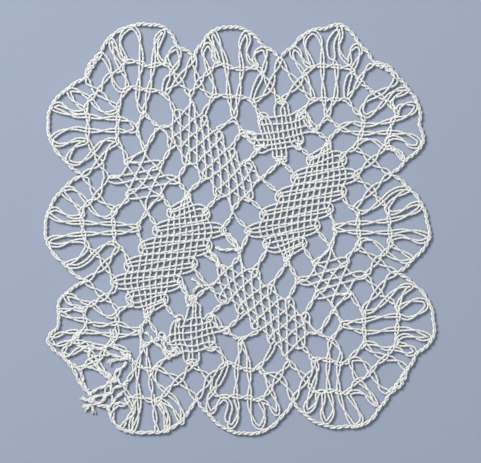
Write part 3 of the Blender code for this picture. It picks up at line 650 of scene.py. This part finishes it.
def layHalfStitch(area):
    # the charted block's corners, fitted by least squares to this block's own, C's and B's half a turn away
    turned = area["name"] in ("C", "B")
    source = dict(C="A", B="D").get(area["name"], area["name"])
    like = [other for other in areas if other["name"] == source][0]
    corners = np.array([like[side] for side in "nesw"], float)
    onto = np.array([area[side] for side in ("swne" if turned else "nesw")], float)
    fit = np.linalg.lstsq(np.column_stack([corners, np.ones(4)]), onto, rcond=None)[0]
    wide, tall = area["i"][1] - area["i"][0], area["j"][1] - area["j"][0]
    for text in halfThreads[source].split(";"):
        first, *points, last = readStops(text)
        ends = [(wide - i, tall - j) if turned else (i, j) for i, j in (first, last)]
        names = [(int(i) + area["i"][0], int(j) + area["j"][0]) for i, j in ends]
        body = np.column_stack([np.array(points), np.ones(len(points))]) @ fit
        lay([denseCurve(np.vstack([pinAt(*names[0]), body, pinAt(*names[1])]))], names[0], names[1])


# The corner ropes. gap, middleGap: between two pairs, at the ends and at the bulge. plyGap: within a pair.
rope = dict(gap=5.0, middleGap=3.6, bow=0.12, step=6.0, plyGap=2.0)


def layRopes():
    # round each corner two pairs, loosely twisted, from the end of one fan's rim to the start of the next
    for k, valley in enumerate(valleys):
        if "bulge" not in valley:
            continue
        end, start, bulge = (np.array(valley[name], float) for name in ("end", "start", "bulge"))
        bow = (bulge - (end + start) / 2) * rope["bow"]
        stops = [tuple(end) + (2, rope["gap"]), tuple((end + bulge) / 2 + bow),
                 tuple(bulge) + (1, rope["middleGap"]),
                 tuple((start + bulge) / 2 + bow), tuple(start) + (0, rope["gap"])]
        for line in pairThreads(stops):
            few = evenSteps(line, rope["step"])
            marks = [tuple(spot) + (1,) for spot in few[:-1]] + [tuple(few[-1]) + (0,)]
            lay(pairThreads(marks, rope["plyGap"]), ("end", k), ("start", k))


def buildAll():
    layFans()
    layLinks()
    layRopes()
    layLooseEnds()
    for area in areas:
        if area["kind"] == "cloth":
            layCloth(area)
        else:
            layHalfStitch(area)


# Joining at a pin. reach: how far along an end its direction is read. straight: ends that meet at less than
# this pass beside the pin, the rest outside it. clear: how much of each end is cut away. step: the spacing of
# the points that are left.
joint = dict(reach=6.0, straight=-0.2, outside=1.7, beside=1.2, unsure=0.4, clear=2.6, step=2.2)


def nearEnd(strand, which):
    # the place of an end, and the direction in which its thread leaves
    line = strand["line"] if which == 0 else strand["line"][::-1]
    far = line[min(len(line) - 1, int(np.searchsorted(lengthAlong(line), joint["reach"])))]
    away = far - line[0]
    return far, away / max(np.linalg.norm(away), 1e-6)


def matchEnds():
    # at each pin the ends that carry on straightest are paired, and get a place beside the pin to pass by
    atPin = {}
    for number, strand in enumerate(strands):
        for which, key in enumerate(strand["ends"]):
            if key is None:
                continue
            if key[0] == "start" and valleys[key[1]]["start"] == valleys[key[1]]["end"]:
                key = ("end", key[1])
            atPin.setdefault(key, []).append((number, which))
    partner, passing = {}, {}
    for key, ends in atPin.items():
        pin = pinAt(*key) if isinstance(key[0], int) else None
        if pin is None:
            pin = np.mean([strands[number]["line"][-which] for number, which in ends], axis=0)
        found = {end: nearEnd(strands[end[0]], end[1]) for end in ends}
        choices = sorted((float(found[a][1] @ found[b][1]), a, b)
                         for m, a in enumerate(ends) for b in ends[m + 1:] if a[0] != b[0])
        taken, count = set(), 0
        for together, a, b in choices:
            if a in taken or b in taken:
                continue
            taken |= {a, b}
            partner[a], partner[b] = b, a
            if together < joint["straight"]:
                axis = found[a][1] - found[b][1]
                across = np.array([-axis[1], axis[0]]) / np.linalg.norm(axis)
                side = float(across @ ((found[a][0] + found[b][0]) / 2 - pin))
                if abs(side) < joint["unsure"]:
                    side = 1 if count % 2 else -1
                shift = across * np.sign(side) * np.clip(abs(side), joint["beside"], 2 * joint["beside"])
            else:
                spread = found[a][1] + found[b][1]
                shift = -spread / max(np.linalg.norm(spread), 1e-6) * joint["outside"]
            passing[a] = passing[b] = pin + shift
            count += 1
    return partner, passing


def joinAll():
    # whole threads: strands strung together over their paired ends, those with a free end first
    partner, passing = matchEnds()
    used, joined = set(), []
    for first in sorted(range(len(strands)), key=lambda n: ((n, 0) in partner) + ((n, 1) in partner)):
        if first in used:
            continue
        number, points = first, []
        enter = 1 if (first, 0) in partner and (first, 1) not in partner else 0
        while number not in used:
            used.add(number)
            line = strands[number]["line"][::-1] if enter else strands[number]["line"]
            reach = lengthAlong(line)
            keep = np.ones(len(line), bool)
            if (number, enter) in partner:
                keep &= reach > joint["clear"]
            if (number, 1 - enter) in partner:
                keep &= reach < reach[-1] - joint["clear"]
            body = line[keep] if keep.sum() > 3 else line[len(line) // 3: -len(line) // 3]
            points += list(evenSteps(body, joint["step"]))
            out = (number, 1 - enter)
            if out not in partner:
                break
            points.append(passing[out])
            number, enter = partner[out]
        joined.append(dict(strands[first], line=evenSteps(denseCurve(points), thread["step"])))
    return joined


# From chart to metres. lift, reach: how far a crossing lifts a thread, and over which length. easing: the
# reach and width of a bell curve. ply, tip: the bulge and the last ring, as shares of the radius. shortest:
# a stretch's fewest rings.
lace = dict(unit=0.0254 / 150, middle=(239.742, 229.0006), radius=0.98, lift=1.04, reach=3.2, ringStep=1.02,
            sides=8, ply=0.15, plyLength=9.0, tip=0.55, easing=(2.6, 0.715), shortest=9, ownSteps=3,
            flat=(0.0335, 0.0352), area=0.00064,
            quarters=["lace_upper_left", "lace_upper_right", "lace_lower_left", "lace_lower_right"])


def crossings(lines):
    # every place where two threads cross, from upright quads on their segments: (thread, place) twice
    first = np.cumsum([0] + [len(line) for line in lines])
    points = np.vstack(lines)
    flat = np.column_stack([points, np.full(len(points), -1.0)])
    upright = np.vstack([flat, flat + (0, 0, 2)])
    starts = np.setdiff1d(np.arange(len(points)), first[1:] - 1)
    quads = np.column_stack([starts, starts + 1, starts + 1 + len(points), starts + len(points)])
    tree = BVHTree.FromPolygons(upright.tolist(), quads.tolist())
    pairs = np.array([pair for pair in tree.overlap(tree) if pair[0] < pair[1]])
    a, b = starts[pairs[:, 0]], starts[pairs[:, 1]]
    apart = b - a > lace["ownSteps"]  # a thread's next steps touch without crossing
    a, b = a[apart], b[apart]
    r, s, gap = points[a + 1] - points[a], points[b + 1] - points[b], points[b] - points[a]
    area = r[:, 0] * s[:, 1] - r[:, 1] * s[:, 0]
    safe = np.where(np.abs(area) < 1e-9, 1e-9, area)
    t = (gap[:, 0] * s[:, 1] - gap[:, 1] * s[:, 0]) / safe
    u = (gap[:, 0] * r[:, 1] - gap[:, 1] * r[:, 0]) / safe
    good = (t >= 0) & (t < 1) & (u >= 0) & (u < 1) & (np.abs(area) > 1e-9)
    a, b, t, u = a[good], b[good], t[good], u[good]
    along = np.concatenate([lengthAlong(line) for line in lines])
    owner = np.repeat(np.arange(len(lines)), np.diff(first))
    placeA = along[a] + t * (along[a + 1] - along[a])
    placeB = along[b] + u * (along[b + 1] - along[b])
    return np.column_stack([owner[a], placeA, owner[b], placeB])


def overAndUnder(lines, met):
    # every thread goes over and under in turn, which crosses and twists of a pair always give
    visits = [[] for line in lines]
    for number, (a, placeA, b, placeB) in enumerate(met):
        visits[int(a)].append((placeA, number, 1))
        visits[int(b)].append((placeB, number, -1))
    beside = [[] for row in met]
    for visit in visits:
        visit.sort()
        for (_, one, signOne), (_, other, signOther) in zip(visit[:-1], visit[1:]):
            flip = -signOne * signOther
            beside[one].append((other, flip))
            beside[other].append((one, flip))
    level = np.zeros(len(met), int)
    clashes = 0
    for first in range(len(met)):
        if level[first]:
            continue
        level[first] = 1
        queue = [first]
        for number in queue:
            for other, flip in beside[number]:
                if level[other] == 0:
                    level[other] = level[number] * flip
                    queue.append(other)
                elif level[other] != level[number] * flip:
                    clashes += 1
    print("crossings", len(met), "clashes", clashes // 2)
    return visits, level


def heightAlong(length, visit, level, count):
    # plus or minus the lift at each crossing, the middle level between far ones, then eased by a bell curve
    stops, lifts = [], []
    for at, number, sign in visit:
        if stops and at - stops[-1] > 2 * lace["reach"]:
            stops += [stops[-1] + lace["reach"], at - lace["reach"]]
            lifts += [0.0, 0.0]
        stops.append(at)
        lifts.append(sign * level[number] * lace["lift"])
    if not stops:
        return np.zeros(count)
    stops = [stops[0] - lace["reach"]] + stops + [stops[-1] + lace["reach"]]
    lifts = [0.0] + lifts + [0.0]
    along = np.linspace(0, length, count)
    heights = np.interp(along, stops, lifts)
    reach, width = lace["easing"]
    span = int(np.ceil(reach / max(along[1], 1e-6)))
    kernel = np.exp(-0.5 * (np.arange(-span, span + 1) * along[1] / width) ** 2)
    padded = np.pad(heights, span, mode="edge")
    return np.convolve(padded, kernel / kernel.sum(), mode="valid")


def threadRings(line, heights, seed, size):
    # rings across the thread: radius times one plus a two-lobed wave that turns along it, the two plies
    centre = np.column_stack([(line[:, 0] - lace["middle"][0]), (lace["middle"][1] - line[:, 1]),
                              heights + lace["lift"] + lace["radius"] * (1 + lace["ply"])])
    ahead = np.gradient(centre, axis=0)
    ahead /= np.linalg.norm(ahead, axis=1)[:, None]
    side = np.column_stack([-ahead[:, 1], ahead[:, 0], np.zeros(len(ahead))])
    side /= np.linalg.norm(side, axis=1)[:, None]
    above = np.cross(ahead, side)
    along = lengthAlong(centre)
    angle = np.arange(lace["sides"]) * 2 * np.pi / lace["sides"]
    turn = 2 * (angle[None] - 2 * np.pi * along[:, None] / lace["plyLength"] + seed)
    radius = size * lace["radius"] * (1 + lace["ply"] * np.cos(turn))
    radius[[0, -1]] *= lace["tip"]
    ring = side[:, None] * np.cos(angle)[None, :, None] + above[:, None] * np.sin(angle)[None, :, None]
    return centre[:, None] + ring * radius[..., None], along


def cutByQuarter(rings, along):
    # stretches of one thread, cut where it leaves a quarter of the lace for good
    middle = rings.mean(axis=1)
    quarter = (middle[:, 0] > 0) + 2 * (middle[:, 1] < 0)
    cuts = [0] + list(np.flatnonzero(np.diff(quarter)) + 1) + [len(quarter)]
    runs = []
    for first, last in zip(cuts[:-1], cuts[1:]):
        if runs and (last - first < lace["shortest"] or quarter[first] == runs[-1][0]):
            runs[-1][2] = last
        else:
            runs.append([int(quarter[first]), first, last])
    for number, first, last in runs:
        yield number, rings[first:last + 1], along[first:last + 1]


def weave(name, stretches):
    # one mesh out of many stretches: quads between the rings, a flat cap on each end
    sides = lace["sides"]
    shift, spots, quads, caps, marks = 0, [], [], [], []
    for rings, along in stretches:
        count = len(rings)
        k, s = np.meshgrid(np.arange(count - 1), np.arange(sides), indexing="ij")
        after = (s + 1) % sides
        here, there = k * sides, (k + 1) * sides
        corners = np.stack([here + s, here + after, there + after, there + s], axis=-1)
        around = np.stack([s, s + 1, s + 1, s], axis=-1) / sides
        lengths = np.stack([along[k], along[k], along[k + 1], along[k + 1]], axis=-1)
        spots.append(rings.reshape(-1, 3) * lace["unit"])
        quads.append(corners.reshape(-1, 4) + shift)
        marks.append(np.stack([lengths, around], axis=-1).reshape(-1, 2))
        caps += [shift + np.arange(sides)[::-1], shift + (count - 1) * sides + np.arange(sides)]
        shift += count * sides
    spots, quads, caps = np.vstack(spots), np.vstack(quads), np.array(caps)
    mesh = bpy.data.meshes.new(name)
    mesh.from_pydata(spots.tolist(), [], quads.tolist() + caps.tolist())
    layer = mesh.uv_layers.new(name="thread")
    flat = np.vstack(marks + [np.zeros((caps.size, 2))])
    layer.data.foreach_set("uv", flat.astype(np.float32).ravel())
    mesh.polygons.foreach_set("use_smooth", np.arange(len(mesh.polygons)) < len(quads))
    mesh.update()
    piece = bpy.data.objects.new(name, mesh)
    bpy.context.scene.collection.objects.link(piece)
    return piece


class Wave:
    # a shader value: sums and products of these add Math nodes
    def __init__(self, tree, socket):
        self.tree, self.socket = tree, socket

    def node(self, kind, settings=None, out=0, **inputs):
        made = self.tree.nodes.new(kind)
        for name, value in (settings or {}).items():
            setattr(made, name, value)
        for name, value in inputs.items():
            key = int(name[1:]) if name[0] == "n" and name[1:].isdigit() else name.replace("_", " ")
            if isinstance(value, Wave):
                self.tree.links.new(value.socket, made.inputs[key])
            else:
                made.inputs[key].default_value = value
        return Wave(self.tree, made.outputs[out])

    def maths(self, operation, a, b=0.0):
        return self.node("ShaderNodeMath", dict(operation=operation), n0=a, n1=b)

    def __add__(self, other):
        return self.maths("ADD", self, other)

    def __radd__(self, other):
        return self.maths("ADD", other, self)

    def __sub__(self, other):
        return self.maths("SUBTRACT", self, other)

    def __rsub__(self, other):
        return self.maths("SUBTRACT", other, self)

    def __mul__(self, other):
        return self.maths("MULTIPLY", self, other)

    def __rmul__(self, other):
        return self.maths("MULTIPLY", other, self)

    def sine(self):
        return self.maths("SINE", self)


# shade and height: the weights of ridges and fibres, and for the shade of patches and the least of all.
# fibre: how fast the fibre noise changes along the thread, as it twists, round it and lengthwise.
# the ridges' weight in the shade is painted shade: the colour darkens in the grooves between the plies
cotton = dict(light=(0.93, 0.93, 0.90), dark=(0.50, 0.51, 0.50), shade=(0.5, 0.45, 0.3, 0.02),
              height=(0.6, 0.4), fibre=(0.9, 3.0, 14.0, 0.12), detail=3.0, patchScale=90.0,
              roughness=0.8, roughSpread=0.2, bump=0.5, bumpDepth=0.00012, sheen=0.2, specular=0.3)


def cottonMaterial():
    # two plies seen as slanting ridges, bumped and with painted shade in the grooves between them, fine
    # fibres along them, and cream patches over the whole lace
    material = bpy.data.materials.new("cottonThread")
    material.use_nodes = True
    tree = material.node_tree
    shader = tree.nodes["Principled BSDF"]
    start = Wave(tree, None)
    marks = start.node("ShaderNodeUVMap", dict(uv_map="thread"))
    along = start.node("ShaderNodeSeparateXYZ", Vector=marks)
    around = Wave(tree, along.socket.node.outputs[1])
    turn = 2 * np.pi
    ridges = (2 * turn * around - along * (2 * turn / lace["plyLength"])).sine() * 0.5 + 0.5
    solid = start.node("ShaderNodeTexCoord", out=3)
    alongRate, twistRate, aroundRate, lengthRate = cotton["fibre"]
    fibreSpot = start.node("ShaderNodeCombineXYZ", X=along * alongRate + around * twistRate,
                           Y=around * aroundRate, Z=along * lengthRate)
    fibre = start.node("ShaderNodeTexNoise", Vector=fibreSpot, Scale=1.0, Detail=cotton["detail"])
    patch = start.node("ShaderNodeTexNoise", Vector=solid, Scale=cotton["patchScale"],
                       Detail=cotton["detail"])
    paintedGrooveShade, fibreShade, patchShade, least = cotton["shade"]
    # the ridges darken the colour in the grooves between the plies as painted shade; fibres and patches are
    # the cotton's own uneven tone
    shade = ridges * paintedGrooveShade + fibre * fibreShade + patch * patchShade + least
    colour = start.node("ShaderNodeMix", dict(data_type="RGBA"), out=2, n0=shade,
                        n6=cotton["dark"] + (1,), n7=cotton["light"] + (1,))
    rough = cotton["roughness"] + (fibre - 0.5) * cotton["roughSpread"]
    height = ridges * cotton["height"][0] + fibre * cotton["height"][1]
    bump = start.node("ShaderNodeBump", Strength=cotton["bump"], Distance=cotton["bumpDepth"], Height=height)
    tree.links.new(colour.socket, shader.inputs["Base Color"])
    tree.links.new(rough.socket, shader.inputs["Roughness"])
    tree.links.new(bump.socket, shader.inputs["Normal"])
    shader.inputs["Sheen Weight"].default_value = cotton["sheen"]
    shader.inputs["Specular IOR Level"].default_value = cotton["specular"]
    return material


buildAll()
threads = joinAll()
lines = [one["line"] for one in threads]
total = sum(lengthAlong(line)[-1] for line in lines)
print("threads", len(lines), "metres", round(total * lace["unit"], 3))
visits, level = overAndUnder(lines, crossings(lines))
chance = np.random.default_rng(7)
stretches = [[] for name in lace["quarters"]]
ends = []
for one, visit in zip(threads, visits):
    fine = evenSteps(one["line"], lace["ringStep"])
    heights = heightAlong(lengthAlong(one["line"])[-1], visit, level, len(fine))
    rings, along = threadRings(fine, heights + one["lift"], chance.uniform(0, np.pi), one["size"])
    if one["loose"]:
        ends.append((rings, along))
        continue
    for quarter, ringsThere, alongThere in cutByQuarter(rings, along):
        stretches[quarter].append((ringsThere, alongThere))
material = cottonMaterial()


def dressed(name, group):
    piece = weave(name, group)
    piece.data.materials.append(material)
    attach(piece, "root")
    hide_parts("lace")
    triangles = sum(2 * lace["sides"] * len(rings) for rings, along in group)
    print(name, "stretches", len(group), "triangles", triangles)
    return piece


endsPiece = dressed("lace_loose_ends", ends)
for name, group in zip(lace["quarters"], stretches):
    piece = dressed(name, group)

# Floor, light and camera. A lamp is place, size and power; the view is the photo's, in chart units.
studio = dict(floor=(0.32, 0.37, 0.47), floorRough=0.9, reach=0.6, key=((-0.4, 0.4, 0.5), 0.3, 6.6),
              fill=((0.5, -0.3, 0.7), 0.8, 1.6), sky=(0.9, 0.93, 1.0), skyStrength=0.22,
              view=(240.5, 231.5), wide=481, lens=200.0, sensor=36.0)


def plainFloor():
    mesh = bpy.data.meshes.new("floor")
    reach = studio["reach"]
    mesh.from_pydata([(-reach, -reach, 0), (reach, -reach, 0), (reach, reach, 0), (-reach, reach, 0)], [],
                     [(0, 1, 2, 3)])
    floor = bpy.data.objects.new("floor", mesh)
    bpy.context.scene.collection.objects.link(floor)
    material = bpy.data.materials.new("paleCard")
    material.use_nodes = True
    shader = material.node_tree.nodes["Principled BSDF"]
    shader.inputs["Base Color"].default_value = studio["floor"] + (1,)
    shader.inputs["Roughness"].default_value = studio["floorRough"]
    mesh.materials.append(material)


def softLight(name):
    # a square lamp that faces the middle of the lace
    spot, size, power = studio[name]
    lamp = bpy.data.lights.new(name, "AREA")
    lamp.size, lamp.energy = size, power
    placed = bpy.data.objects.new(name, lamp)
    placed.location = spot
    placed.rotation_euler = (-placed.location).to_track_quat("-Z", "Y").to_euler()
    bpy.context.scene.collection.objects.link(placed)


plainFloor()
softLight("key")
softLight("fill")
world = bpy.data.worlds.new("soft")
world.use_nodes = True
sky = world.node_tree.nodes["Background"]
sky.inputs["Color"].default_value = studio["sky"] + (1,)
sky.inputs["Strength"].default_value = studio["skyStrength"]
bpy.context.scene.world = world
bpy.context.scene.view_settings.view_transform = "Standard"

camera = bpy.data.cameras.new("scanView")
camera.lens, camera.sensor_width = studio["lens"], studio["sensor"]
viewer = bpy.data.objects.new("scanView", camera)
viewer.location = ((studio["view"][0] - lace["middle"][0]) * lace["unit"],
                   (lace["middle"][1] - studio["view"][1]) * lace["unit"],
                   studio["wide"] * lace["unit"] * camera.lens / camera.sensor_width)
bpy.context.scene.collection.objects.link(viewer)
bpy.context.scene.camera = viewer
print("floor, light and camera")
